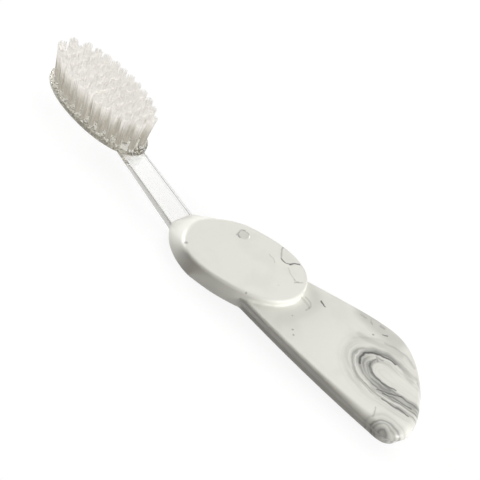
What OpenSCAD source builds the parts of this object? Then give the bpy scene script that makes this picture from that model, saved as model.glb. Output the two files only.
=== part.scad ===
// Manual toothbrush with a replaceable clear head that plugs into a one-piece moulded handle.
// The brush lies on its back: +X points to the head's tip and +Z the way the bristles stand.
// Its origin is under the middle of its box, on the surface that it lies on.

/* [Thumb pad] */
// Length of the oval thumb pad, along its own long axis
pad_l = 43.4; // [40:0.1:47]
// Width of the thumb pad
pad_w = 28.4; // [26:0.1:31]
// Height of the pad's face above the surface that the brush lies on
pad_t = 13; // [12:0.1:15]
// Angle that the pad is turned by, towards the thumb
pad_turn = 22; // [10:1:28]
// Distance from the neck joint back to the middle of the pad
pad_back = 28; // [26:0.5:30]
// Squareness of the pad's oval, where 2 is an ellipse
pad_power = 2.3; // [2:0.05:2.6]
// Rounding of the edge of the pad's face
pad_edge_r = 1.6; // [0.8:0.1:2.4]
// Rise of the pad's face in its middle
pad_crown = 0.4; // [0.1:0.1:1]
// Diameter of the gate mark in the pad's face
gate_d = 4.2; // [3:0.1:5]
// Depth of the gate mark
gate_depth = 0.25; // [0.1:0.05:0.5]
// Distance of the gate mark from the pad's middle, along the pad towards the neck
gate_along = 4.5; // [2:0.1:8]
// Distance of the gate mark from the pad's long axis
gate_aside = 8.3; // [6:0.1:9]

/* [Grip] */
// Distance from the neck joint to the far end of the grip
grip_l = 103.2; // [98:0.1:112]
// Reach of the straight edge from the brush's centre line, beside the pad
grip_edge_near = 11.5; // [10.5:0.1:12.5]
// Reach of the straight edge from the centre line, near the end
grip_edge_far = 7.6; // [7:0.1:10]
// Reach of the bulging edge from the centre line
grip_belly = 26.9; // [23:0.1:29]
// Distance from the neck joint to the widest point of the bulge
grip_belly_back = 76.5; // [72:0.5:82]
// Height of the grip's upper edge above the surface that it lies on
grip_t = 9.4; // [9:0.1:10.5]
// Rise of the grip's upper face in its middle
grip_crown = 0.7; // [0.2:0.1:1.4]
// Rounding of the grip's upper edge
grip_edge_r = 1.8; // [0.8:0.1:2.4]

/* [Underside of the handle] */
// Rounding of the pad's lower edge
pad_under_r = 4.6; // [3:0.1:5]
// Rounding of the grip's lower edge
grip_under_r = 4.8; // [3:0.1:5]
// Inward lean of the pad's wall, from its upper edge to its lower
pad_draft = 1.6; // [0.5:0.1:2]
// Inward lean of the grip's wall, from its upper edge to its lower
grip_draft = 2; // [0.5:0.1:2.2]
// Extra inward lean of the grip's wall beside the pad
grip_tuck = 1.4; // [0:0.1:1.6]
// Depth by which the lower edges' rounding runs past the flat underside
keel = 0.5; // [0.3:0.1:0.8]

/* [Neck] */
// Length of the clear neck, from the joint to where it swells into the head
neck_l = 26; // [24:0.5:30]
// Rise of the neck's upper face over that length
neck_rise = 5.1; // [4.5:0.1:6.4]
// Width of the neck at the joint
neck_joint_w = 9.4; // [8.6:0.1:10.4]
// Width of the neck at the head
neck_head_w = 8.4; // [6:0.1:9]
// Thickness of the neck at the joint
neck_joint_t = 3.1; // [3:0.1:3.8]
// Thickness of the neck at the head
neck_head_t = 2.2; // [1.8:0.1:2.8]
// Rounding of the neck's four long edges
neck_edge_r = 0.45; // [0.2:0.05:0.8]
// Height of the neck's upper face at the joint, above the surface
joint_h = 4.3; // [4.2:0.1:4.8]

/* [Plug and socket] */
// Length of the plug behind the neck
plug_l = 14; // [10:0.5:18]
// Width of the plug
plug_w = 6.4; // [5:0.1:7]
// Thickness of the plug
plug_t = 2; // [1.6:0.1:2.2]
// Clearance all round between the plug and its socket
plug_gap = 0.08; // [0.05:0.01:0.1]
// Chamfer on the plug's leading corners
plug_chamfer = 1.2; // [0.6:0.1:1.6]
// Gap between the neck's shoulder and the handle's nose
joint_gap = 0.05; // [0.02:0.01:0.1]
// Length of the handle's nose, from the joint back under the pad
nose_l = 16; // [14:0.5:18]
// Lip of the nose round the neck
nose_lip = 0.1; // [0.05:0.05:0.3]
// Rounding of the nose's edges at the joint
nose_edge_r = 0.8; // [0.5:0.1:1.2]
// Flare of the nose on the side that the pad is turned to
nose_flare = 9.4; // [7:0.1:9.8]
// Flare of the nose on the other side
nose_flare_small = 1; // [0.5:0.1:2]
// How late the nose starts to flare
nose_flare_power = 1.25; // [1:0.05:1.5]

/* [Head plate] */
// Length of the oval plate that holds the tufts
head_l = 47.4; // [44:0.1:50]
// Width of the plate
head_w = 20.4; // [19:0.1:23]
// Squareness of the plate's oval
head_power = 2.1; // [2:0.05:2.4]
// Height of the plate's upper face above the neck's upper face at the joint
head_rise = 8.9; // [8:0.1:10]
// Height of the plate's straight rim
rim_h = 1.3; // [1.1:0.1:2]
// Depth of the rounded hull under the rim
hull_depth = 3.1; // [2.8:0.1:4]
// Rounding of the rim's upper edge
rim_r = 0.5; // [0.3:0.1:0.8]
// Length over which the neck swells into the head
swell_l = 8.5; // [7:0.5:10]
// Width of the neck where it has run into the head
swell_w = 10; // [9:0.5:11]

/* [Tufts] */
// Transverse rows of tufts
rows = 12; // [10:1:13]
// Distance from the plate's end to the middle of the end rows
row_end = 3; // [2.8:0.1:5]
// Aimed distance from tuft to tuft in a row
tuft_pitch = 3.15; // [3.1:0.05:3.8]
// Diameter of a tuft hole
hole_d = 2.1; // [1.8:0.05:2.3]
// Depth of a tuft hole
hole_depth = 2.2; // [2:0.1:2.3]
// Clearance between a tuft's root and its hole
root_gap = 0.03; // [0.02:0.01:0.06]
// Distance from the plate's rim to the middle of the outermost tufts
tuft_margin = 2.3; // [2.1:0.1:2.6]
// Length of the bristles above the plate
bristle_l = 13; // [11:0.1:15]
// Strands in a tuft, round one in its middle
strands_round = 7; // [6:1:7]
// Distance across one strand
strand_d = 0.56; // [0.4:0.02:0.6]
// Spread of a tuft's strands at the tips, times that at the root
tuft_flare = 1.45; // [1.2:0.05:1.7]
// Lean of the end rows away from the middle of the head, in degrees
row_fan = 3.5; // [1:0.5:5]
// Lean of the edge tufts to the side, in degrees
side_fan = 3; // [1:0.5:5]
// Lean of all tufts towards the neck, in degrees
back_lean = 2; // [0:0.5:4]

/* [Anchor wires] */
// Thickness of the flat wire that pins a tuft in its hole
anchor_t = 0.3; // [0.2:0.05:0.4]
// Length of the wire, longer than the hole is wide so that it bites
anchor_l = 2.5; // [2.4:0.05:2.8]
// Height of the wire
anchor_h = 1.2; // [1:0.1:1.4]
// Height of the wire above the bottom of the hole, where the strands fold under it
anchor_lift = 0.3; // [0.2:0.05:0.4]
// Clearance between the wire and the slit that it sits in
anchor_gap = 0.02; // [0.01:0.01:0.04]

/* [Hidden] */
$fn = 48;

// Points round an oval outline, steps in a rounded edge, and rings in a crown
oval_points = 64;
edge_steps = 5;
crown_rings = 3;
curve_steps = 12;
nose_steps = 8;
swell_steps = 6;
hull_steps = 8;

// Turn at which the hull's rounding ends in its flat bottom
hull_end_turn = 72;

// Length of the plate that reaches back over the neck
head_lap = 1.4;

// Depth of a strand's foot in its tuft's root, and the step between its strands' tips
strand_sunk = 0.4;
tip_unevenness = 0.15;

function row_name(kind, i) = str(kind, i < 9 ? "_0" : "_", i + 1);
function add(v, i = 0) = i < len(v) ? v[i] + add(v, i + 1) : 0;
function middle(path) = [for (k = [0:len(path[0]) - 1]) add([for (p = path) p[k]]) / len(path)];

// A superellipse of length l and width w, turned and moved, counterclockwise
function oval(l, w, power, turn = 0, at = [0, 0]) =
    [for (i = [0:oval_points - 1])
        let (a = 360 * i / oval_points, c = cos(a), s = sin(a),
             x = l / 2 * sign(c) * pow(abs(c), 2 / power),
             y = w / 2 * sign(s) * pow(abs(s), 2 / power))
        at + [x * cos(turn) - y * sin(turn), x * sin(turn) + y * cos(turn)]];

// Half the width of an oval at x from its middle
function half_width(l, w, power, x) = w / 2 * pow(1 - pow(abs(2 * x / l), power), 1 / power);

// A cubic curve from a to d, without its last point
function curve(a, b, c, d) =
    [for (i = [0:curve_steps - 1])
        let (t = i / curve_steps, u = 1 - t)
        u * u * u * a + 3 * u * u * t * b + 3 * u * t * t * c + t * t * t * d];

// An arc of radius r about m, from angle a to b, without its last point
function arc(m, r, a, b) =
    [for (i = [0:curve_steps - 1])
        let (t = a + (b - a) * i / curve_steps)
        m + r * [cos(t), sin(t)]];

// A closed counterclockwise outline moved inwards by d
function inset(path, d) =
    let (n = len(path))
    [for (i = [0:n - 1])
        let (v = path[(i + 1) % n] - path[(i + n - 1) % n])
        path[i] + d * [-v[1], v[0]] / norm(v)];

// The outline drawn in towards its own middle, to s times its size
function shrunk(path, s) = let (m = middle(path)) [for (p = path) m + s * (p - m)];

function at_height(path, z) = [for (p = path) [p[0], p[1], z]];

// Rings of a moulded slab: keel, rounded lower edge, leaning wall, rounded upper edge, crowned face.
// Its lower edge follows low_path and its upper edge follows path.
function slab(path, low_path, h, low_r, top_r, draft, crown) = concat(
    [at_height(inset(low_path, draft + 0.9 * low_r), -keel)],
    [for (k = [1:edge_steps])
        let (a = 90 * k / edge_steps)
        at_height(inset(low_path, draft + low_r * (1 - sin(a))), low_r * (1 - cos(a)))],
    [for (k = [0:edge_steps - 1])
        let (a = 90 * k / edge_steps)
        at_height(inset(path, top_r * (1 - cos(a))), h - top_r + top_r * sin(a))],
    [for (k = [0:crown_rings - 1])
        let (s = 1 - k / crown_rings)
        at_height(shrunk(inset(path, top_r), s), h + crown * (1 - s * s))]);

// A closed skin through rings of equal counts, with a point in the middle of each end
module loft(rings, end_rise = 0) {
    n = len(rings[0]);
    m = len(rings);
    first = middle(rings[0]);
    last = middle(rings[m - 1]) + [0, 0, end_rise];
    points = concat([for (r = rings) each r], [first, last]);
    sides = [for (j = [0:m - 2], i = [0:n - 1])
        let (p = j * n + i, q = j * n + (i + 1) % n)
        each [[p, q + n, q], [p, p + n, q + n]]];
    low = [for (i = [0:n - 1]) [m * n, i, (i + 1) % n]];
    high = [for (i = [0:n - 1]) [m * n + 1, (m - 1) * n + (i + 1) % n, (m - 1) * n + i]];
    polyhedron(points, concat(sides, low, high));
}

// Outlines seen from above, with the joint's face at x = 0 and the centre line at y = 0
pad_at = [-pad_back, 0];
pad_path = oval(pad_l, pad_w, pad_power, pad_turn, pad_at);

// The grip: a straight edge, a tight corner, a full bulge, and a round end under the pad.
// The handles of its curves are offsets from their ends.
root_r = 10.2;
root_turn = -74;
root_middle = [-pad_back - 4, grip_edge_near - root_r];
edge_end = [-grip_l + 9, grip_edge_far];
end_point = [-grip_l, -0.8];
belly_point = [-grip_belly_back, -grip_belly];
edge_handles = [[-20, -1.2], [20, 0.9]];
corner_handles = [[-5.4, -0.2], [0, 4.8]];
bulge_handles = [[0, -8.6], [-12.2, 0]];
run_handles = [[11.5, 0], [-16, -4.6]];

// The grip's outline, drawn in by tuck round its end under the pad
function grip_outline(tuck) =
    let (r = root_r - tuck,
         start = root_middle + [0, r],
         run = root_middle + r * [cos(root_turn), sin(root_turn)])
    concat(
        curve(start, start + edge_handles[0], edge_end + edge_handles[1], edge_end),
        curve(edge_end, edge_end + corner_handles[0], end_point + corner_handles[1], end_point),
        curve(end_point, end_point + bulge_handles[0], belly_point + bulge_handles[1], belly_point),
        curve(belly_point, belly_point + run_handles[0], run + run_handles[1], run),
        arc(root_middle, r, root_turn, 90));

grip_path = grip_outline(0);

head_x = neck_l - head_lap + head_l / 2;
head_path = oval(head_l, head_w, head_power, 0, [head_x, 0]);
plate_z = joint_h + head_rise;

// The box round the whole brush, which puts the origin under its middle
low_x = min([for (p = grip_path) p[0]]);
high_x = max([for (p = head_path) p[0]]);
low_y = min([for (p = grip_path) p[1]]);
high_y = max([for (p = pad_path) p[1]]);
middle_x = (low_x + high_x) / 2;
middle_y = (low_y + high_y) / 2;

// Tufts: rows spread along the plate, and tufts spread across it, inside an oval that leaves the margin
function row_x(i) = (head_l / 2 - row_end) * (2 * i / (rows - 1) - 1);
function row_reach(i) = half_width(head_l - 2 * tuft_margin, head_w - 2 * tuft_margin, head_power, row_x(i));
function row_count(i) = round(2 * row_reach(i) / tuft_pitch) + 1;
function tuft_y(i, j) = row_reach(i) * (2 * j / (row_count(i) - 1) - 1);

module placed() {
    translate([-middle_x, -middle_y, 0]) children();
}

module at_tuft(i, j) {
    translate([head_x + row_x(i), tuft_y(i, j), plate_z]) children();
}

// The plug's outline from above, grown by gap all round
module plug_shape(gap) {
    x = -plug_l - gap;
    y = plug_w / 2 + gap;
    c = plug_chamfer;
    translate([0, 0, joint_h - neck_joint_t / 2 - plug_t / 2 - gap])
        linear_extrude(plug_t + 2 * gap)
            polygon([[1, -y], [1, y], [x + c, y], [x, y - c], [x, c - y], [x + c, -y]]);
}

// One rounded section of the nose, at t from 0 at the joint to 1 under the pad
function nose_ring(t) =
    let (r = nose_edge_r + (pad_under_r - nose_edge_r) * t,
         left = neck_joint_w / 2 + nose_lip + nose_flare * pow(sin(90 * t), nose_flare_power),
         right = -neck_joint_w / 2 - nose_lip - nose_flare_small * t,
         top = joint_h + nose_lip + (pad_t - joint_h - pad_edge_r) * (1 - pow(1 - t, 3)),
         low = (joint_h - neck_joint_t - nose_lip) * (1 - t) - keel * t)
    [for (q = [0:3], k = [0:edge_steps])
        let (a = 90 * (q + k / edge_steps),
             y = q == 0 || q == 3 ? left - r : right + r,
             z = q < 2 ? top - r : low + r)
        [-nose_l * t, y + r * cos(a), z + r * sin(a)]];

// The nose of the handle that the neck butts against, flaring back into the pad
module nose() {
    loft([for (k = [nose_steps:-1:0]) nose_ring(pow(k / nose_steps, 1.5))]);
}

module handle() {
    color([0.91, 0.9, 0.87]) placed() difference() {
        union() {
            loft(slab(pad_path, pad_path, pad_t, pad_under_r, pad_edge_r, pad_draft, pad_crown));
            loft(slab(grip_path, grip_outline(grip_tuck), grip_t, grip_under_r, grip_edge_r,
                      grip_draft, grip_crown));
            nose();
        }
        translate([-1.5 * grip_l, -grip_l, -10 * keel]) cube([2 * grip_l, 2 * grip_l, 10 * keel]);
        plug_shape(plug_gap);
        translate([-pad_back, 0, pad_t - gate_depth]) rotate(pad_turn)
            translate([gate_along, -gate_aside, 0]) cylinder(h = 2 * pad_crown + 1, d = gate_d);
    }
}

// One cross section of the neck, rounded by r at its corners, with its upper face at height top
function neck_ring(x, top, w, t, r) =
    [for (q = [0:3], k = [0:2])
        let (a = q * 90 + k * 45,
             y = (q == 0 || q == 3 ? 1 : -1) * (w / 2 - r),
             z = (q < 2 ? 1 : -1) * (t / 2 - r))
        [x, y + r * cos(a), top - t / 2 + z + r * sin(a)]];

// The neck: a straight bar that swells smoothly into the head's hull
module neck() {
    end_top = joint_h + neck_rise;
    hull_low = plate_z - rim_h - hull_depth;
    loft(concat(
        [neck_ring(joint_gap, joint_h, neck_joint_w, neck_joint_t, neck_edge_r)],
        [for (k = [0:swell_steps])
            let (t = k / swell_steps, s = t * t * (3 - 2 * t),
                 w = neck_head_w + (swell_w - neck_head_w) * s,
                 top = end_top + (plate_z - rim_r - end_top) * s,
                 low = (end_top - neck_head_t) * (1 - t) + (hull_low + 2 * rim_r) * t)
            neck_ring(neck_l + swell_l * t, top, w, top - low, neck_edge_r + rim_h * s)]));
}

// The plate: a rim with a rounded edge, over a hull that draws in like a boat's
module head_plate() {
    loft(concat(
        [for (k = [hull_steps:-1:0])
            let (a = hull_end_turn * k / hull_steps)
            at_height(shrunk(head_path, cos(a)), plate_z - rim_h - hull_depth * sin(a) / sin(hull_end_turn))],
        [at_height(head_path, plate_z - rim_r),
         at_height(inset(head_path, 0.3 * rim_r), plate_z - 0.3 * rim_r),
         at_height(inset(head_path, rim_r), plate_z)]));
}

module anchor(gap = 0) {
    translate([-anchor_t / 2 - gap, -anchor_l / 2 - gap, anchor_lift - hole_depth - gap])
        cube([anchor_t + 2 * gap, anchor_l + 2 * gap, anchor_h + 2 * gap]);
}

module brush_head() {
    color([0.84, 0.87, 0.88, 0.6]) placed() difference() {
        union() {
            head_plate();
            neck();
            plug_shape(0);
        }
        for (i = [0:rows - 1], j = [0:row_count(i) - 1])
            at_tuft(i, j) translate([0, 0, -hole_depth]) cylinder(h = hole_depth + 1, d = hole_d);
        for (i = [0:rows - 1], j = [0:row_count(i) - 1]) at_tuft(i, j) anchor(anchor_gap);
    }
}

// One bristle strand of three sides, from inside the tuft's root to its tip
module strand(foot, tip) {
    r = strand_d / 2;
    polyhedron(
        [for (p = [foot, tip], a = [0, 120, 240]) p + [r * cos(a), r * sin(a), 0]],
        [[0, 1, 2], [5, 4, 3], [0, 3, 1], [3, 4, 1], [1, 4, 2], [4, 5, 2], [2, 5, 0], [5, 3, 0]]);
}

// A tuft: its folded root, which fills the hole round the anchor wire, and its spread strands
module tuft(lean_x, lean_y) {
    tuft_r = hole_d / 2 - root_gap;
    ring_r = tuft_r - strand_d / 2 - root_gap;
    difference() {
        translate([0, 0, -hole_depth]) cylinder(h = hole_depth, r = tuft_r);
        anchor(anchor_gap);
    }
    for (k = [0:strands_round]) {
        a = 360 * k / strands_round;
        at = k < strands_round ? ring_r * [cos(a), sin(a)] : [0, 0];
        far = at * tuft_flare + bristle_l * [tan(lean_x), tan(lean_y)];
        strand([at[0], at[1], -strand_sunk], [far[0], far[1], bristle_l - tip_unevenness * (k % 3)]);
    }
}

module tuft_row(i) {
    lean_x = row_fan * row_x(i) / row_x(rows - 1) - back_lean;
    color([0.95, 0.95, 0.93]) placed() for (j = [0:row_count(i) - 1])
        at_tuft(i, j) tuft(lean_x, side_fan * tuft_y(i, j) / (head_w / 2 - tuft_margin));
}

module anchor_row(i) {
    color([0.75, 0.74, 0.7]) placed() for (j = [0:row_count(i) - 1]) at_tuft(i, j) anchor();
}

handle();
brush_head();
for (i = [0:rows - 1]) {
    tuft_row(i);
    anchor_row(i);
}
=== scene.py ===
"""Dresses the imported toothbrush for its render: marbled handle, clear head, anchor wires and tufts."""
import math

import bmesh
import bpy
import numpy as np
from mathutils import Matrix, Vector


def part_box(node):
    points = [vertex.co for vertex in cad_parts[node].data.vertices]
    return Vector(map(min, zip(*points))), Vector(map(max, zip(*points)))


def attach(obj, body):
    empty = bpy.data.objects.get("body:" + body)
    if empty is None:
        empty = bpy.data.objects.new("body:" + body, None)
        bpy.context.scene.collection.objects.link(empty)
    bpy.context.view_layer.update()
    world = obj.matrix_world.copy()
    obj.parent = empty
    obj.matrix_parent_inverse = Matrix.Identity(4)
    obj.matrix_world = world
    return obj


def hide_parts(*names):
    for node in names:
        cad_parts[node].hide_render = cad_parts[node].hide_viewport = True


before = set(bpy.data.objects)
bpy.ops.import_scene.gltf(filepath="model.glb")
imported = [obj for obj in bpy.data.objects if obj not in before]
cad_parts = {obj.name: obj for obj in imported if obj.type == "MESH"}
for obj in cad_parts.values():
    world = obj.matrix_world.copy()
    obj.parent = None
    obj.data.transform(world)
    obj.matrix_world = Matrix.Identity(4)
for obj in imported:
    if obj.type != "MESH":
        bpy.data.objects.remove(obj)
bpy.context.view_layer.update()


# The camera: a 94 mm lens on a 36 mm sensor, 410 mm from the joint, looking down at 42 degrees, which
# puts the joint at its pixel and turns the upright bristles to their slant in the picture.
mm = 0.001
view_from = Vector((-0.39, 0.63, 0.67)).normalized()
slant_of_up = math.radians(67.35)
joint_pixel = (181.9, 218.3)
image_px = 480
focal_px = 1250
joint_distance = 410 * mm

# At the joint the neck butts against the handle's nose, on the centre line. Every piece is placed in
# millimetres from there, with heights from the surface that the brush lies on.
handle_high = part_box("handle")[1]
head_low, head_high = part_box("brush_head")
joint = Vector((handle_high.x, (head_low.y + head_high.y) / 2, 0))
joint_h = 4.3

up = (Vector((0, 0, 1)) - view_from * view_from.z).normalized()
aside = up.cross(view_from)
screen_right = math.cos(slant_of_up) * up + math.sin(slant_of_up) * aside
screen_up = math.sin(slant_of_up) * up - math.cos(slant_of_up) * aside
turn = Matrix((screen_right, screen_up, view_from)).transposed()
ray = Vector(((joint_pixel[0] - image_px / 2) / focal_px, (image_px / 2 - joint_pixel[1]) / focal_px, -1))

lens = bpy.data.cameras.new("camera")
lens.sensor_width = 36
lens.lens = lens.sensor_width * focal_px / image_px
lens.clip_start = 10 * mm
camera = bpy.data.objects.new("camera", lens)
joint_face = joint + Vector((0, 0, joint_h * mm))
camera.matrix_world = Matrix.Translation(joint_face - turn @ ray * joint_distance) @ turn.to_4x4()
bpy.context.scene.collection.objects.link(camera)
bpy.context.scene.camera = camera
bpy.context.scene.view_settings.view_transform = "Standard"


# The studio: a white paper floor under a soft top light, with a large soft box at each end of the brush.
# The side towards the camera has none, which leaves the walls there in shade.
def linear(code):
    """An sRGB hex colour as linear red, green and blue, with alpha."""
    parts = [int(code[i:i + 2], 16) / 255 for i in (1, 3, 5)]
    return [c / 12.92 if c <= 0.04045 else ((c + 0.055) / 1.055) ** 2.4 for c in parts] + [1]


def add(tree, kind, *values, at=None, **settings):
    """Adds a node and returns its first output. Values go to its inputs in order, and at names others."""
    node = tree.nodes.new("ShaderNode" + kind)
    for name, value in settings.items():
        setattr(node, name, value)
    for place, value in [*enumerate(values), *(at or {}).items()]:
        if isinstance(value, bpy.types.NodeSocket):
            tree.links.new(value, node.inputs[place])
        else:
            node.inputs[place].default_value = value
    return node.outputs[0] if node.outputs else None


def new_material(name):
    """A material with an empty node tree."""
    material = bpy.data.materials.new(name)
    material.use_nodes = True
    material.node_tree.nodes.clear()
    return material, material.node_tree


def shown_white(tree):
    """1 on rays that show a background, straight to the eye or by gloss or clear plastic, otherwise 0."""
    path = add(tree, "LightPath").node.outputs
    shown = add(tree, "Math", path["Is Camera Ray"], path["Is Glossy Ray"], operation="MAXIMUM")
    return add(tree, "Math", shown, path["Is Transmission Ray"], operation="MAXIMUM")


floor_half = 3.0
floor_glow, glow_strength = 0.86, 1.03
corners = [(x * floor_half, y * floor_half, 0) for x, y in ((-1, -1), (1, -1), (1, 1), (-1, 1))]
floor_mesh = bpy.data.meshes.new("floor")
floor_mesh.from_pydata(corners, [], [(0, 1, 2, 3)])
floor = bpy.data.objects.new("floor", floor_mesh)
bpy.context.scene.collection.objects.link(floor)

# Matte paper: its shown side is part glow, which keeps the brush's shadow and makes it a faint one.
material, tree = new_material("matte white paper")
bounce = add(tree, "BsdfDiffuse", linear("#706B62"))
paper = add(tree, "BsdfDiffuse", linear("#FFFFFF"))
glow = add(tree, "Emission", linear("#FFFFFF"), glow_strength)
shown = add(tree, "MixShader", floor_glow, paper, glow)
add(tree, "OutputMaterial", add(tree, "MixShader", shown_white(tree), bounce, shown))
floor_mesh.materials.append(material)

# The air of the studio is white to the eye. Gloss and clear plastic see it dim near the horizon, and dark
# towards a black card on the camera's side, which draws the dark lines in the clear edges.
air_light = 0.13
horizon, dim_to, bright_from = 0.32, -0.02, 0.6
card, card_edge, card_middle = 0.06, 0.15, 0.6
world = bpy.data.worlds.new("studio air")
world.use_nodes = True
tree = world.node_tree
tree.nodes.clear()
direction = add(tree, "TexCoord")
direction = add(tree, "SeparateXYZ", direction).node.outputs
rise = add(tree, "MapRange", direction["Z"], dim_to, bright_from, horizon, 1.0,
           interpolation_type="SMOOTHSTEP")
shut = add(tree, "MapRange", direction["Y"], card_edge, card_middle, 1.0, card,
           interpolation_type="SMOOTHSTEP")
rise = add(tree, "Math", rise, shut, operation="MULTIPLY")
path = add(tree, "LightPath").node.outputs
mirrored = add(tree, "Math", path["Is Glossy Ray"], path["Is Transmission Ray"], operation="MAXIMUM")
dim = add(tree, "Background", linear("#FFF8EC"), air_light)
seen = add(tree, "Background", linear("#FFFFFF"), 1.0)
reflected = add(tree, "Background", linear("#FFFFFF"), rise)
mixed = add(tree, "MixShader", mirrored, dim, reflected)
add(tree, "OutputWorld", add(tree, "MixShader", path["Is Camera Ray"], mixed, seen))
bpy.context.scene.world = world


def soft_box(name, place, size, strength):
    """An area lamp at a place in metres from the joint, which gives a surface there that faces it the
    given strength of light."""
    lamp = bpy.data.lights.new(name, "AREA")
    lamp.shape = "SQUARE"
    lamp.size = size
    lamp.energy = strength * math.pi ** 2 * Vector(place).length_squared
    box = bpy.data.objects.new(name, lamp)
    box.location = joint + Vector(place)
    box.rotation_euler = (-Vector(place)).to_track_quat("-Z", "Y").to_euler()
    bpy.context.scene.collection.objects.link(box)


soft_box("top box", (-0.05, -0.3, 0.8), 0.9, 0.53)
soft_box("tip box", (0.9, 0.0, 0.22), 0.4, 1.15)
soft_box("grip box", (-0.9, 0.02, 0.22), 0.3, 0.95)


# The handle: one solid moulding of cream-white cellulose plastic with grey marbling. An oval thumb pad,
# turned to one side, runs into a flat wing-shaped grip. A nose flares from the neck's joint into the pad.
pad_l, pad_w, pad_t, pad_turn, pad_back, pad_power = 43.4, 28.4, 13, 22, 28, 2.3
pad_edge_r, pad_crown, pad_under_r, pad_draft = 1.1, 0.4, 6, 2.3
collar_r, collar_from, collar_full = 3.2, -17, -10
grip_l, grip_near, grip_far, grip_belly, grip_belly_back = 103.2, 9.7, 6.4, 26.9, 76.5
grip_t, grip_crown, grip_under_r, grip_draft, grip_tuck = 9.4, 1, 4.6, 1.4, 0.6
grip_edge_r, grip_end_r, edge_softens_from, edge_soft_at = 1.0, 3.0, -74, -103
neck_joint_w, neck_joint_t = 9.4, 3.1
nose_lip, nose_edge_r = 0.1, 0.8
swell_middle, swell_long, swell_wide, swell_from, swell_heights = -20, 20.4, 15, 19, (4.2, 5.4)
plug_l, plug_w, plug_t, plug_gap, plug_chamfer = 14, 6.4, 2, 0.08, 1.2
gate_place, gate_r, gate_depth, crown_at_gate = (-20.7, -6.0), 2.1, 0.4, 0.25
gate_profile = ((0.75, 0), (0.95, 0.06), (1, 0.16), (1.06, 0.5), (1.06, 3))
keel = 0.5
skin_step, soft_share, soft_rounds = 0.33, 0.5, 6
handle_crease = math.radians(42)


def oval(length, width, power=2, degrees=0, middle=(0, 0), count=160):
    """A superellipse seen from above, counterclockwise."""
    a = np.arange(count) * 2 * math.pi / count
    x = length / 2 * np.sign(np.cos(a)) * np.abs(np.cos(a)) ** (2 / power)
    y = width / 2 * np.sign(np.sin(a)) * np.abs(np.sin(a)) ** (2 / power)
    c, s = math.cos(math.radians(degrees)), math.sin(math.radians(degrees))
    return np.stack([middle[0] + x * c - y * s, middle[1] + x * s + y * c], 1)


def curve(a, b, c, d, steps=32):
    """A cubic curve from a to d, without its last point."""
    t = (np.arange(steps) / steps)[:, None]
    a, b, c, d = (np.array(p, float) for p in (a, b, c, d))
    return (1 - t) ** 3 * a + 3 * (1 - t) ** 2 * t * b + 3 * (1 - t) * t * t * c + t ** 3 * d


def grip_outline(tuck):
    """A straight edge, a tight corner, a full bulge, and a round end under the pad, drawn in by tuck.
    The two handles of each curve are given from its ends."""
    root_r, root_turn = 10.2, -74
    root = np.array([-pad_back - 4, grip_near - root_r])
    turns = np.radians(np.linspace(root_turn, 90, 32, endpoint=False))
    arc = [root + (root_r - tuck) * np.array([math.cos(a), math.sin(a)]) for a in turns]
    start = root + [0, root_r - tuck]
    edge_end = np.array([-grip_l + 9, grip_far])
    end = np.array([-grip_l, -0.8])
    belly = np.array([-grip_belly_back, -grip_belly])
    return np.concatenate([
        curve(start, start + [-20, 0.2], edge_end + [20, 2.2], edge_end),
        curve(edge_end, edge_end + [-5.4, -0.2], end + [0, 4.8], end),
        curve(end, end + [0, -8.6], belly + [-12.2, 0], belly),
        curve(belly, belly + [11.5, 0], arc[0] + [-16, -4.6], arc[0]),
        arc])


def inset(path, d):
    """A closed counterclockwise outline moved inwards by d, which may differ from point to point."""
    along = np.roll(path, -1, 0) - np.roll(path, 1, 0)
    inwards = np.stack([-along[:, 1], along[:, 0]], 1) / np.linalg.norm(along, axis=1)[:, None]
    return path + np.broadcast_to(d, len(path))[:, None] * inwards


def shrunk(path, s):
    """An outline drawn in towards its own middle, to s times its size."""
    middle = path.mean(0)
    return middle + s * (path - middle)


def at_height(path, z):
    """An outline as a ring at height z, which may differ from point to point."""
    return np.column_stack([path, np.broadcast_to(z, len(path))])


def slab_rings(path, low_path, height, low_r, top_r, draft, crown, steps=10, crown_steps=8):
    """Rings of a moulded slab: rounded lower edge, leaning wall, rounded upper edge, crowned face.
    The first one lies below the surface, in a keel that is trimmed off at the end."""
    rings = [at_height(inset(low_path, draft + 0.9 * low_r), -keel)]
    for k in range(1, steps + 1):
        a = math.pi / 2 * k / steps
        low = inset(low_path, draft + low_r * (1 - math.sin(a)))
        rings.append(at_height(low, low_r * (1 - math.cos(a))))
    for k in range(steps):
        a = math.pi / 2 * k / steps
        high = inset(path, top_r * (1 - math.cos(a)))
        rings.append(at_height(high, height - top_r + top_r * math.sin(a)))
    for k in range(crown_steps):
        s = 1 - k / crown_steps
        rings.append(at_height(shrunk(inset(path, top_r), s), height + crown * (1 - s * s)))
    return rings


def mesh_object(name, points, faces):
    """An object in the scene from points in millimetres from the joint."""
    mesh = bpy.data.meshes.new(name)
    mesh.from_pydata((np.array(points) * mm + np.array(joint)).tolist(), [], faces)
    mesh.update()
    thing = bpy.data.objects.new(name, mesh)
    bpy.context.scene.collection.objects.link(thing)
    return thing


def loft(name, rings):
    """A closed skin through rings of equal counts, with a point in the middle of each end."""
    n, m = len(rings[0]), len(rings)
    points = np.concatenate(list(rings) + [[rings[0].mean(0), rings[-1].mean(0)]])
    faces = []
    for j in range(m - 1):
        for i in range(n):
            p, q = j * n + i, j * n + (i + 1) % n
            faces.append((p, q, q + n, p + n))
    faces += [(m * n, (i + 1) % n, i) for i in range(n)]
    faces += [(m * n + 1, (m - 1) * n + i, (m - 1) * n + (i + 1) % n) for i in range(n)]
    return mesh_object(name, points, faces)


def prism(name, outline, low, high):
    """A straight-walled solid over an outline."""
    n = len(outline)
    points = [(*p, low) for p in outline] + [(*p, high) for p in outline]
    sides = [(i, (i + 1) % n, (i + 1) % n + n, i + n) for i in range(n)]
    return mesh_object(name, points, [tuple(range(n))[::-1], tuple(range(n, 2 * n))] + sides)


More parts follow.
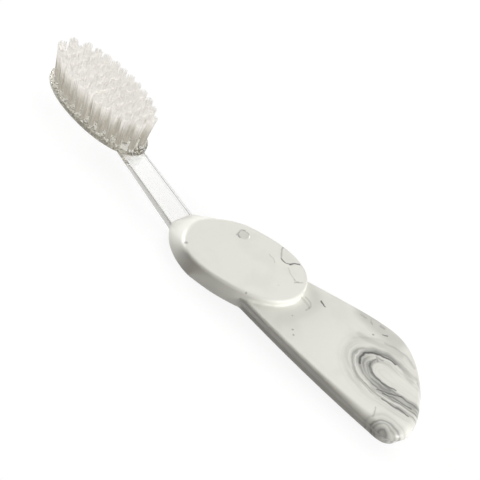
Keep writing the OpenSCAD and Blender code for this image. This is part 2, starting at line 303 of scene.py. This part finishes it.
def bake(thing):
    """Turns a piece's modifiers into its mesh."""
    bpy.context.view_layer.update()
    seen = thing.evaluated_get(bpy.context.evaluated_depsgraph_get())
    mesh = bpy.data.meshes.new_from_object(seen)
    thing.modifiers.clear()
    thing.data = mesh


def join_solid(thing, other, operation):
    """Joins another solid to a piece, or cuts it out, and deletes it."""
    step = thing.modifiers.new("join", "BOOLEAN")
    step.operation = operation
    step.object = other
    step.solver = "MANIFOLD"
    bake(thing)
    bpy.data.objects.remove(other)


def plug_outline(gap):
    """The plug behind the neck from above, grown by gap all round."""
    x, y, c = -plug_l - gap, plug_w / 2 + gap, plug_chamfer
    return [(1, -y), (1, y), (x + c, y), (x, y - c), (x, c - y), (x + c, -y)]


def hull(name, points):
    """The tightest solid without hollows round some points."""
    shape = bmesh.new()
    for p in points:
        shape.verts.new(p)
    bmesh.ops.convex_hull(shape, input=shape.verts)
    bmesh.ops.delete(shape, geom=[v for v in shape.verts if not v.link_faces], context="VERTS")
    shape.verts.index_update()
    corners = [v.co[:] for v in shape.verts]
    faces = [[v.index for v in f.verts] for f in shape.faces]
    shape.free()
    return mesh_object(name, corners, faces)


def joint_ring(x):
    """The rounded section of the nose at the joint, a lip larger than the neck."""
    r = nose_edge_r
    half_w, top, low = neck_joint_w / 2 + nose_lip, joint_h + nose_lip, joint_h - neck_joint_t - nose_lip
    ring = []
    for q in range(4):
        for k in range(9):
            a = math.pi / 2 * (q + k / 8)
            y = half_w - r if q in (0, 3) else r - half_w
            z = top - r if q < 2 else low + r
            ring.append((x, y + r * math.cos(a), z + r * math.sin(a)))
    return np.array(ring)


pad_path = oval(pad_l, pad_w, pad_power, pad_turn, (-pad_back, 0))
pad_r = np.interp(pad_path[:, 0], (collar_from, collar_full), (pad_edge_r, collar_r))
pad_rings = slab_rings(pad_path, pad_path, pad_t, pad_under_r, pad_r, pad_draft, pad_crown)
swell = [(swell_middle + swell_long * math.cos(a), swell_wide * math.sin(a), z)
         for z in swell_heights for a in np.radians(np.linspace(swell_from, 90, 16))]
handle = hull("handle_moulding", np.concatenate([joint_ring(0), swell, *pad_rings]))
grip_path = grip_outline(0)
grip_r = np.interp(-grip_path[:, 0], (-edge_softens_from, -edge_soft_at), (grip_edge_r, grip_end_r))
grip_rings = slab_rings(
    grip_path, grip_outline(grip_tuck), grip_t, grip_under_r, grip_r, grip_draft, grip_crown)
join_solid(handle, loft("grip", grip_rings), "UNION")
join_solid(handle, loft("nose", [joint_ring(x) for x in (2, 0.5, -1)]), "UNION")

# A fine even skin, smoothed a little, gives the moulding's inner corners their small fillets.
skin = handle.modifiers.new("skin", "REMESH")
skin.mode = "VOXEL"
skin.voxel_size = skin_step * mm
soften = handle.modifiers.new("soften", "SMOOTH")
soften.factor = soft_share
soften.iterations = soft_rounds
bake(handle)

# Blocks larger than the handle trim it level with the surface and square at the joint. The socket and the
# gate mark are cut after the smoothing, so that their edges stay crisp.
join_solid(handle, prism("under", [(-150, -60), (20, -60), (20, 60), (-150, 60)], -10, 0), "DIFFERENCE")
join_solid(handle, prism("front", [(0, -30), (20, -30), (20, 30), (0, 30)], -20, 30), "DIFFERENCE")
plug_low = joint_h - neck_joint_t / 2 - plug_t / 2
socket = prism("socket", plug_outline(plug_gap), plug_low - plug_gap, plug_low + plug_t + plug_gap)
join_solid(handle, socket, "DIFFERENCE")

# The gate mark is a shallow round dish, in steps of a share of its radius and a height over its floor.
gate_floor = pad_t + crown_at_gate - gate_depth
gate_rings = []
for share, lift in gate_profile:
    wide = 2 * gate_r * share
    gate_rings.append(at_height(oval(wide, wide, 2, 0, gate_place, 48), gate_floor + lift))
join_solid(handle, loft("gate", gate_rings), "DIFFERENCE")
handle.data.polygons.foreach_set("use_smooth", [True] * len(handle.data.polygons))
handle.data.set_sharp_from_angle(angle=handle_crease)

# Cellulose plastic, moulded and tumbled: a satin gloss over cream white, with dark pigment drawn out
# into swirls, veins and flecks while it was soft. The marbling goes right through the piece. Its waves are
# in millimetres; the skin's peel is a little coarser than a real one, so that it shows.
material, tree = new_material("marbled cellulose plastic, moulded and tumbled")
cream, pigment = "#E2E2DB", "#33322F"
broad_wave, broad_shift, fine_wave, fine_shift, edge_wave, edge_shift = 17, 2.4, 3.6, 1.3, 1.3, 0.3
run_wide, run_long = 0.75, 7
cloud_wave, fleck_gap, tumble_wave, peel_wave = 14, 14, 6, 1.4
smoothest, roughest = 0.32, 0.42
peel_strength, peel_depth = 0.06, 0.05
place = add(tree, "TexCoord").node.outputs["Object"]
place = add(tree, "VectorMath", place, joint, operation="SUBTRACT")
place = add(tree, "VectorMath", place, at={"Scale": 1 / mm}, operation="SCALE")


def wander(vector, wave, amount, detail):
    """Moves places about by a smooth noise with a wave in millimetres, as flow does."""
    noise = add(tree, "TexNoise", at={"Vector": place, "Scale": 1 / wave, "Detail": detail})
    noise = add(tree, "VectorMath", noise.node.outputs["Color"], (0.5, 0.5, 0.5), operation="SUBTRACT")
    return add(tree, "VectorMath", noise, (amount, amount, amount), vector, operation="MULTIPLY_ADD")


drawn = wander(wander(place, broad_wave, broad_shift, 1), fine_wave, fine_shift, 2)
flat = add(tree, "VectorMath", wander(drawn, edge_wave, edge_shift, 1), (1, 1, 0), operation="MULTIPLY")


def loops(middle, stretch, droop_from, droop, span):
    """Distance from the middle of a hairpin of nested loops, open to the grip's end, as a share of span.
    Stretch lengthens its turn; past droop_from it leans away by droop, gently at first."""
    gently = 5.0
    parts = add(tree, "SeparateXYZ", flat).node.outputs
    past = add(tree, "Math", droop_from, parts["X"], operation="SUBTRACT")
    past = add(tree, "Math", past, 0.0, gently, operation="SMOOTH_MAX")
    y = add(tree, "Math", past, droop, parts["Y"], operation="MULTIPLY_ADD")
    y = add(tree, "Math", y, middle[1], operation="SUBTRACT")
    x = add(tree, "Math", parts["X"], middle[0], operation="SUBTRACT")
    x = add(tree, "Math", add(tree, "Math", x, 0.0, operation="MAXIMUM"), 1 / stretch, operation="MULTIPLY")
    distance = add(tree, "VectorMath", add(tree, "CombineXYZ", x, y, 0.0), operation="LENGTH")
    return add(tree, "Math", distance.node.outputs["Value"], 1 / span, operation="MULTIPLY"), y


def bands(share, span, stops):
    """Turns that distance into the share of light that the pigment leaves, given at some distances."""
    ramp = add(tree, "ValToRGB", share)
    elements = ramp.node.color_ramp.elements
    for k, (at, left) in enumerate(stops):
        stop = elements[k] if k < 2 else elements.new(at / span)
        stop.position = at / span
        stop.color = (left, left, left, 1)
    return ramp


def dark_streak(points, width, left):
    """A dark streak along some places in millimetres, which leaves that share of light. It draws the
    pigment's veins and smears, and also painted shade at the gate mark.
    """
    nearest = None
    for start, end in zip(points, points[1:]):
        start, along = Vector((*start, 0)), Vector((*end, 0)) - Vector((*start, 0))
        offset = add(tree, "VectorMath", flat, start, operation="SUBTRACT")
        share = add(tree, "VectorMath", offset, along, operation="DOT_PRODUCT").node.outputs["Value"]
        share = add(tree, "Math", share, 1 / along.length_squared, operation="MULTIPLY")
        share = add(tree, "Math", share, 0.0, operation="MAXIMUM")
        share = add(tree, "Math", share, 1.0, operation="MINIMUM")
        reached = add(tree, "VectorMath", along, at={"Scale": share}, operation="SCALE")
        offset = add(tree, "VectorMath", offset, reached, operation="SUBTRACT")
        distance = add(tree, "VectorMath", offset, operation="LENGTH").node.outputs["Value"]
        nearest = distance if nearest is None else add(tree, "Math", nearest, distance, operation="MINIMUM")
    return add(tree, "MapRange", nearest, 0.2 * width, width, left, 1.0, interpolation_type="SMOOTHSTEP")


# The big hairpin: its far leg is one dark line that fades, and its near leg is a bundle of grey ones. They
# pass into each other round the turn.
span = 14
share, across = loops((-83, -9.7), 1.18, -87.5, 0.42, span)
near_leg = bands(share, span, [
    (0, 0.95), (2.7, 0.93), (3.3, 0.62), (3.8, 0.28), (4.2, 0.56), (4.8, 0.68), (5.4, 0.5), (6.1, 0.66),
    (6.6, 0.36), (7.1, 0.78), (8.0, 0.93), (8.6, 0.42), (9.1, 0.78), (9.8, 0.93), (11.3, 0.86), (12.2, 0.96),
    (14, 1.0)])
far_leg = bands(share, span, [
    (0, 0.95), (2.8, 0.92), (3.8, 0.68), (4.3, 0.84), (5.6, 0.93), (6.2, 0.8), (6.6, 0.26), (7.1, 0.34),
    (7.7, 0.52), (8.4, 0.76), (9.0, 0.94), (10.2, 0.95), (11.2, 0.88), (12.0, 0.8), (12.8, 0.95), (14, 1.0)])
far_x = add(tree, "SeparateXYZ", flat).node.outputs["X"]
faded = add(tree, "MapRange", far_x, -88.0, -81.5, 0.75, 0.0, interpolation_type="SMOOTHSTEP")
far_leg = add(tree, "Mix", faded, at={2: far_leg, 3: 1.0}, data_type="FLOAT")
side = add(tree, "MapRange", across, -3.0, 2.0, interpolation_type="SMOOTHSTEP")
light = add(tree, "Mix", side, at={2: far_leg, 3: near_leg}, data_type="FLOAT")

# Finer streaks run along the loops, most of all in the near leg.
drift = add(tree, "CombineXYZ", add(tree, "Math", share, span / run_wide, operation="MULTIPLY"),
            add(tree, "Math", far_x, 1 / run_long, operation="MULTIPLY"), 0.0)
streaks = add(tree, "TexNoise", at={"Vector": drift, "Scale": 1.0, "Detail": 2})
streaks = add(tree, "MapRange", streaks, 0.44, 0.62, 1.0, 0.64, interpolation_type="SMOOTHSTEP")
bundle = bands(share, span, [(0, 0.15), (2.6, 0.2), (3.4, 1.0), (8.8, 0.9), (10.5, 0.3), (14, 0.0)])
bundle = add(tree, "Math", bundle, add(tree, "MapRange", side, 0.0, 1.0, 0.35, 1.0), operation="MULTIPLY")
streaks = add(tree, "Mix", bundle, at={2: 1.0, 3: streaks}, data_type="FLOAT")
light = add(tree, "Math", light, streaks, operation="MULTIPLY")

# The small swirl round the grip's end corner.
span = 8
share = loops((-98.4, 6.8), 1, -200, 0, span)[0]
swirl = bands(share, span, [
    (0, 0.6), (0.9, 0.74), (1.5, 0.34), (2.0, 0.66), (2.7, 0.8), (3.3, 0.5), (3.8, 0.76), (4.3, 0.36),
    (4.8, 0.76), (5.6, 0.88), (6.4, 0.76), (7.1, 0.92), (8, 1.0)])
light = add(tree, "Math", light, swirl, operation="MULTIPLY")

# Single veins and smears, each by its places, its width and the share of light that it leaves. The last
# two darken the gate mark: an arc of painted shade along the side of its dish away from the tip light,
# and a faint disk over the whole mark. Flecks are small spots at a place in the piece, each with its width.
veins_and_painted_gate_shade = [
    ([(-77.5, -5.1), (-75.6, -7.4), (-75.0, -9.7), (-75.2, -11.7), (-77.5, -13.9), (-80.5, -15.3),
      (-82.6, -15.8)], 0.6, 0.14),
    ([(-78.1, -11.3), (-78.1, -9.2), (-79.6, -7.4), (-81.5, -6.6)], 0.5, 0.45),
    ([(-81.8, -6.5), (-85.5, -6.2), (-88.2, -6.9), (-90, -8.2)], 0.55, 0.3),
    ([(-79, -11.5), (-77.6, -12.3), (-79.6, -13.2)], 0.6, 0.6),
    ([(-86.8, -2.9), (-88, -4), (-90.1, -5.9), (-92.8, -8.2)], 0.4, 0.35),
    ([(-88.8, -3.6), (-91.3, -5.6), (-94.2, -6.6), (-97.1, -8.2)], 0.45, 0.4),
    ([(-90.3, -1.9), (-93.5, -3.2), (-96.6, -4.5), (-98.5, -4.8)], 0.45, 0.35),
    ([(-83.5, -4.5), (-86.5, -4.7), (-89, -6)], 0.9, 0.72),
    ([(-91.8, -17.4), (-94, -17), (-95.5, -14.8)], 0.6, 0.7),
    ([(-31, -15.2), (-32.6, -12.4), (-34.4, -10.7), (-36.2, -10.3)], 0.4, 0.6),
    ([(-34.6, -10.6), (-36.6, -10.3), (-37.8, -11.7)], 0.42, 0.3),
    ([(-37.8, -11.5), (-38.3, -13.2), (-39.3, -14.4)], 0.55, 0.16),
    ([(-38.5, -9.6), (-41, -8.5), (-43, -7.9)], 0.45, 0.82),
    ([(-43, -7.9), (-44.1, -8.1), (-45.4, -9.8)], 0.5, 0.74),
    ([(-43.7, -7.1), (-44.3, -8.8)], 0.4, 0.7),
    ([(-33.5, -13.6), (-36.8, -12.8)], 3.2, 0.94),
    ([(-31, -8.1), (-34.7, -7.3)], 0.4, 0.8),
    ([(-52.6, -12.5), (-54.9, -12.1)], 0.4, 0.1),
    ([(-48.4, -7.2), (-50.8, -6.9), (-52.6, -6.4)], 0.7, 0.8),
    ([(-48.9, -8.7), (-51.2, -8.3), (-52.7, -7.2), (-52.7, -4.8)], 0.6, 0.76),
    ([(-63.2, -21.2), (-64.2, -21.4)], 0.7, 0.78),
    ([(-66.3, -21.7), (-67.2, -21.3)], 0.42, 0.66),
    ([(-69.3, -23.6), (-70.5, -24)], 0.7, 0.7),
    ([(-72, -21.4), (-72.5, -21.8), (-73.2, -22.5)], 0.45, 0.34),
    ([(-63.5, -22.6), (-70, -22.6), (-76.5, -23.6)], 5.0, 0.76),
    ([(-68.6, -14.2), (-71.5, -14.9), (-76, -17.8), (-81, -20.2)], 1.8, 0.84),
    ([(-86.5, -16.6), (-90.2, -15.6)], 1.8, 0.84),
    ([(-75.5, -19.1), (-78.7, -21.4), (-82.5, -22.1), (-87, -21)], 0.7, 0.82),
    ([(-91.2, 2.0), (-92.4, 4.9)], 0.45, 0.72),
    # Painted shade: an arc along the gate mark's dish, on the side away from the tip light.
    ([(-20.6, -4.1), (-19.1, -4.9), (-18.8, -6.4), (-19.6, -7.7)], 0.5, 0.5),
    # A faint darker disk over the whole gate mark.
    ([(-20.7, -6.0), (-20.8, -6.1)], 2.6, 0.9)]
on_pad, on_grip = pad_t + pad_crown, grip_t + 0.5
fleck_left = 0.4
flecks = [
    (-14.9, 13.6, on_pad - 0.5, 1.0), (-20.8, -4.2, on_pad - 0.55, 0.9), (-19.6, -4, on_pad - 0.2, 0.8),
    (-39.3, 10.3, on_pad - 0.8, 0.6), (-52.2, 0.8, on_grip, 0.5), (-56.6, 4.6, on_grip, 0.5),
    (-58, 5.6, on_grip, 0.5), (-64, -3.5, on_grip, 0.6), (-84.7, 7.3, on_grip, 0.6),
    (-70.3, -18.3, on_grip, 0.6), (-61.1, -20.1, on_grip, 0.6), (-51, -14.2, on_grip, 0.6),
    (-42, -1.4, on_pad, 0.5), (-72.8, -22.2, on_grip, 0.6), (-65.8, -22.4, on_grip, 0.5),
    (-88.5, -19.3, on_grip, 0.5)]
marks = 1.0
for points, width, left in veins_and_painted_gate_shade:
    marks = add(tree, "Math", marks, dark_streak(points, width, left), operation="MULTIPLY")
for x, y, z, width in flecks:
    distance = add(tree, "VectorMath", drawn, (x, y, z), operation="DISTANCE").node.outputs["Value"]
    fleck = add(tree, "MapRange", distance, 0.2 * width, width, fleck_left, 1.0,
                interpolation_type="SMOOTHSTEP")
    marks = add(tree, "Math", marks, fleck, operation="MULTIPLY")
light = add(tree, "Math", light, marks, operation="MULTIPLY")

# Elsewhere the pigment is a faint cloud with soft edges, and a fleck here and there.
cloud = add(tree, "TexNoise", at={"Vector": drawn, "Scale": 1 / cloud_wave, "Detail": 3})
cloud = add(tree, "MapRange", cloud, 0.5, 0.66, 1.0, 0.95, interpolation_type="SMOOTHSTEP")
light = add(tree, "Math", light, cloud, operation="MULTIPLY")
fleck = add(tree, "TexVoronoi", at={"Vector": place, "Scale": 1 / fleck_gap})
fleck = add(tree, "MapRange", fleck, 0.01, 0.035, 0.6, 1.0, interpolation_type="SMOOTHSTEP")
light = add(tree, "Math", light, fleck, operation="MULTIPLY")
colour = add(tree, "Mix", light, at={6: linear(pigment), 7: linear(cream)}, data_type="RGBA")
tumbling = add(tree, "TexNoise", at={"Vector": place, "Scale": 1 / tumble_wave, "Detail": 3})
roughness = add(tree, "MapRange", tumbling, 0.3, 0.7, smoothest, roughest)
peel = add(tree, "TexNoise", at={"Vector": place, "Scale": 1 / peel_wave, "Detail": 2})
bump = add(tree, "Bump", at={"Height": peel, "Strength": peel_strength, "Distance": peel_depth * mm})
plastic = add(tree, "BsdfPrincipled", colour.node.outputs[2], at={
    "Roughness": roughness, "Normal": bump, "IOR": 1.48})
add(tree, "OutputMaterial", plastic)
handle.data.materials.clear()
handle.data.materials.append(material)
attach(handle, "handle")
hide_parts("handle")


# The head: one clear polished moulding, from the plug and the sloping neck to the oval plate. The plate's
# hull draws in below its rim like a boat's, and its upper face has a blind hole for each tuft.
neck_l, neck_rise, neck_head_w, neck_head_t, neck_edge_r = 26, 5.1, 8.4, 2.2, 0.45
plate_l, plate_w, plate_power, rim_h, hull_depth, rim_r, plate_lap = 47.4, 20.4, 2.1, 1.3, 3.1, 0.5, 1.4
swell_l, swell_w, joint_gap = 8.5, 10, 0.05
hole_d, hole_depth = 2.1, 2.2
head_crease = math.radians(35)
plate_x = neck_l - plate_lap + plate_l / 2
plate_z = head_high.z / mm


def neck_ring(x, top, w, t, r):
    """One rounded cross section of the neck, its upper face at height top."""
    ring = []
    for q in range(4):
        for k in range(7):
            a = math.pi / 2 * (q + k / 6)
            y = (1 if q in (0, 3) else -1) * (w / 2 - r)
            z = (1 if q < 2 else -1) * (t / 2 - r)
            ring.append((x, y + r * math.cos(a), top - t / 2 + z + r * math.sin(a)))
    return np.array(ring)


def neck_rings():
    """A straight bar that swells smoothly into the head's hull."""
    end_top = joint_h + neck_rise
    hull_low = plate_z - rim_h - hull_depth
    rings = [neck_ring(joint_gap, joint_h, neck_joint_w, neck_joint_t, neck_edge_r)]
    for t in np.arange(25) / 24:
        s = t * t * (3 - 2 * t)
        top = end_top + (plate_z - rim_r - end_top) * s
        low = (end_top - neck_head_t) * (1 - t) + (hull_low + 2 * rim_r) * t
        w = neck_head_w + (swell_w - neck_head_w) * s
        rings.append(neck_ring(neck_l + swell_l * t, top, w, top - low, neck_edge_r + rim_h * s))
    return rings


def hull_rings(path, steps=24, end_turn=math.radians(72)):
    """The plate from the flat bottom of its hull to its rounded rim."""
    rings = []
    for k in range(steps, -1, -1):
        a = end_turn * k / steps
        depth = hull_depth * math.sin(a) / math.sin(end_turn)
        rings.append(at_height(shrunk(path, math.cos(a)), plate_z - rim_h - depth))
    for k in range(6):
        a = math.pi / 2 * k / 5
        rim = inset(path, rim_r * (1 - math.cos(a)))
        rings.append(at_height(rim, plate_z - rim_r + rim_r * math.sin(a)))
    return rings


def tuft_places(anchors, near=0.05):
    """The middles of the tufts in a row, in millimetres from the joint, taken from its anchor wires.
    The corners at one end of a wire lie within near of each other across the row."""
    co = np.array([v.co for v in anchors.data.vertices]) / mm - np.array(joint) / mm
    y = np.sort(co[:, 1])
    ends = [group.mean() for group in np.split(y, np.where(np.diff(y) > near)[0] + 1)]
    x = (co[:, 0].min() + co[:, 0].max()) / 2
    return [(x, (a + b) / 2) for a, b in zip(ends[::2], ends[1::2])]


rows = sorted(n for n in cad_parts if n.startswith("anchor_row"))
places = [tuft_places(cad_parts[n]) for n in rows]

head = loft("clear_head", hull_rings(oval(plate_l, plate_w, plate_power, 0, (plate_x, 0))))
join_solid(head, loft("neck", neck_rings()), "UNION")
join_solid(head, prism("plug", plug_outline(0), plug_low, plug_low + plug_t), "UNION")
hole_points, hole_faces = [], []
hole_sides = 32
for place in [p for row in places for p in row]:
    start = len(hole_points)
    rim = oval(hole_d, hole_d, 2, 0, place, hole_sides)
    hole_points += [(*p, plate_z - hole_depth) for p in rim] + [(*p, plate_z + 1) for p in rim]
    ring = list(range(start, start + hole_sides))
    hole_faces += [tuple(ring[::-1]), tuple(i + hole_sides for i in ring)]
    hole_faces += [(i, j, j + hole_sides, i + hole_sides) for i, j in zip(ring, ring[1:] + ring[:1])]
join_solid(head, mesh_object("holes", hole_points, hole_faces), "DIFFERENCE")
head.data.polygons.foreach_set("use_smooth", [True] * len(head.data.polygons))
head.data.set_sharp_from_angle(angle=head_crease)

# Cellulose plastic, moulded and polished: water clear with a bright gloss. Its body is faintly grey, so
# that it darkens where the eye looks along it. Flow marks and haze round the tufts' roots cloud the plate.
material, tree = new_material("clear cellulose plastic, moulded and polished")
body_tint, body_grey = "#BCBAB3", 85
haze_white, haze_least, haze_most = "#FCF9EE", 0.1, 0.65
flow_wave, flow_strength, flow_depth = 1.1, 0.8, 0.32
place = add(tree, "TexCoord").node.outputs["Object"]
place = add(tree, "VectorMath", place, joint, operation="SUBTRACT")
place = add(tree, "VectorMath", place, at={"Scale": 1 / mm}, operation="SCALE")
along = add(tree, "SeparateXYZ", place).node.outputs["X"]
in_plate = add(tree, "MapRange", along, neck_l - 1, neck_l + 3, interpolation_type="SMOOTHSTEP")
flow = add(tree, "TexNoise", at={"Vector": place, "Scale": 1 / flow_wave, "Detail": 2})
bumpy = add(tree, "Math", in_plate, flow_strength, operation="MULTIPLY")
bump = add(tree, "Bump", at={"Strength": bumpy, "Distance": flow_depth * mm, "Height": flow})
clear = add(tree, "BsdfPrincipled", linear("#FAFAF9"), at={
    "Roughness": 0.02, "IOR": 1.48, "Transmission Weight": 1.0, "Normal": bump})
clouded = add(tree, "BsdfTranslucent", linear(haze_white))
clouded = add(tree, "MixShader", 0.5, clouded, add(tree, "BsdfDiffuse", linear(haze_white)))
haze = add(tree, "MapRange", flow, 0.42, 0.6, haze_least, haze_most)
haze = add(tree, "Math", haze, in_plate, operation="MULTIPLY")
body = add(tree, "VolumeAbsorption", linear(body_tint), body_grey)
add(tree, "OutputMaterial", add(tree, "MixShader", haze, clear, clouded), body)
head.data.materials.clear()
head.data.materials.append(material)
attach(head, "head")
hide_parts("brush_head")


# The anchor wires: short flat lengths of wire, driven into the slits of the tuft holes. They keep the
# shapes of the solids, and show through the clear plate as dark and bright glints.
streak_wide, streak_long, streak_strength, streak_depth = 0.08, 1.5, 0.3, 0.01
dull, bright = 0.45, 0.25

# Nickel silver, drawn flat: a dull metal gloss with streaks along the wire, a little coarser here than the
# hairlines that drawing leaves.
material, tree = new_material("nickel silver, drawn flat")
place = add(tree, "TexCoord").node.outputs["Object"]
streaked = (1 / (streak_wide * mm), 1 / (streak_long * mm), 1 / (streak_wide * mm))
streaked = add(tree, "VectorMath", place, streaked, operation="MULTIPLY")
streaks = add(tree, "TexNoise", at={"Vector": streaked, "Scale": 1.0, "Detail": 2})
metal = add(tree, "Mix", streaks, at={6: linear("#8F897C"), 7: linear("#CBC5B8")}, data_type="RGBA")
dulled = add(tree, "MapRange", streaks, 0.3, 0.7, dull, bright)
scored = add(tree, "Bump", at={
    "Height": streaks, "Strength": streak_strength, "Distance": streak_depth * mm})
wire = add(tree, "BsdfPrincipled", metal.node.outputs[2], at={
    "Metallic": 1.0, "Roughness": dulled, "Normal": scored})
add(tree, "OutputMaterial", wire)
for name in rows:
    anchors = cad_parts[name].data
    anchors.materials.clear()
    anchors.materials.append(material)


# The tufts: bundles of milky nylon filaments, folded double round their wires and trimmed level.
# The end rows fan outwards, the edge tufts lean aside, and all lean back a little.
bristle_l = 13.0
row_fan, side_fan, back_lean = 3.5, 3.0, 2.0
filaments, filament_r, filament_sides, filament_steps = 70, 0.11, 5, 6
tuft_flare, flare_less, flare_more, bend = 1.75, -0.1, 0.15, 0.35
ragged, uneven, stray, turn_stray = 0.5, 0.4, 0.1, 0.2
hole_clearance, root_lift, tip_share = 0.14, 0.1, 0.5
reach_x = max(abs(row[0][0] - plate_x) for row in places)
reach_y = max(abs(place[1]) for row in places for place in row)
golden = math.pi * (3 - math.sqrt(5))
rng = np.random.default_rng(7)

# Nylon filament, extruded: milky, with a soft sheen. Light soaks through from side to side, and through
# the whole tuft, so it throws no shade of its own. Instead its shade is painted: the colour turns greyer
# and warmer down towards the roots, where the tufts would shade each other.
material, tree = new_material("milky nylon filament, extruded")
# Painted shade: the root colour, and the heights over which it gives way to the tip colour, stand in for the
# shade that the tufts cast on each other low down.
root_painted_shade, tip_milk = "#B4B0A7", "#E1DFDC"
painted_shade_full_to, painted_shade_gone_at, patch_wave = 3, 12.8, 1.2
place = add(tree, "TexCoord").node.outputs["Object"]
rise = add(tree, "SeparateXYZ", place).node.outputs["Z"]
rise = add(tree, "MapRange", rise, head_high.z + painted_shade_full_to * mm, head_high.z + painted_shade_gone_at * mm,
           interpolation_type="SMOOTHSTEP")
# The tufts' shade is painted here: greyer and warmer the lower down a filament.
milk = add(tree, "Mix", rise, at={6: linear(root_painted_shade), 7: linear(tip_milk)}, data_type="RGBA")
patch = add(tree, "TexNoise", at={"Vector": place, "Scale": 1 / (patch_wave * mm), "Detail": 1})
patch = add(tree, "MapRange", patch, 0.3, 0.7, 0.94, 1.04)
milk = add(tree, "VectorMath", milk.node.outputs[2], at={"Scale": patch}, operation="SCALE")
nylon = add(tree, "BsdfPrincipled", milk, at={"Roughness": 0.5, "IOR": 1.53, "Specular IOR Level": 0.25})
add(tree, "OutputMaterial", add(tree, "MixShader", 0.5, nylon, add(tree, "BsdfTranslucent", milk)))

for name, row in zip(rows, places):
    points, faces = [], []
    for place in row:
        along = (place[0] - plate_x) / reach_x
        lean = np.tan(np.radians([row_fan * along - back_lean, side_fan * place[1] / reach_y]))
        trim = rng.uniform(-uneven, 0)
        for f in range(filaments):
            radius = (hole_d / 2 - hole_clearance) * math.sqrt((f + 0.5) / filaments)
            angle = golden * f + rng.uniform(-turn_stray, turn_stray)
            foot = radius * np.array([math.cos(angle), math.sin(angle)])
            spread = tuft_flare + rng.uniform(flare_less, flare_more)
            tip = foot * spread + bristle_l * lean + rng.normal(0, stray, 2)
            top = bristle_l + trim - ragged * rng.random() ** 2
            start = len(points)
            for k in range(filament_steps + 1):
                t = k / filament_steps
                middle = foot + (tip - foot) * ((1 - bend) * t + bend * t * t)
                r = filament_r * (tip_share if k == filament_steps else 1)
                z = plate_z + (top * t if k else root_lift - hole_depth)
                for s in range(filament_sides):
                    a = 2 * math.pi * s / filament_sides + f
                    x, y = place + middle + r * np.array([math.cos(a), math.sin(a)])
                    points.append((x, y, z))
            for k in range(filament_steps):
                for s in range(filament_sides):
                    p = start + k * filament_sides + s
                    q = start + k * filament_sides + (s + 1) % filament_sides
                    faces.append((p, q, q + filament_sides, p + filament_sides))
            last = start + filament_steps * filament_sides
            faces.append(tuple(range(last, last + filament_sides)))
            faces.append(tuple(range(start, start + filament_sides))[::-1])
    bristles = mesh_object(name.replace("anchor_row", "bristle_row"), points, faces)
    bristles.data.polygons.foreach_set("use_smooth", [True] * len(bristles.data.polygons))
    bristles.data.materials.append(material)
    bristles.visible_shadow = False
    bristles.visible_diffuse = False
    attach(bristles, "head")
    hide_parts(name.replace("anchor_row", "tuft_row"))
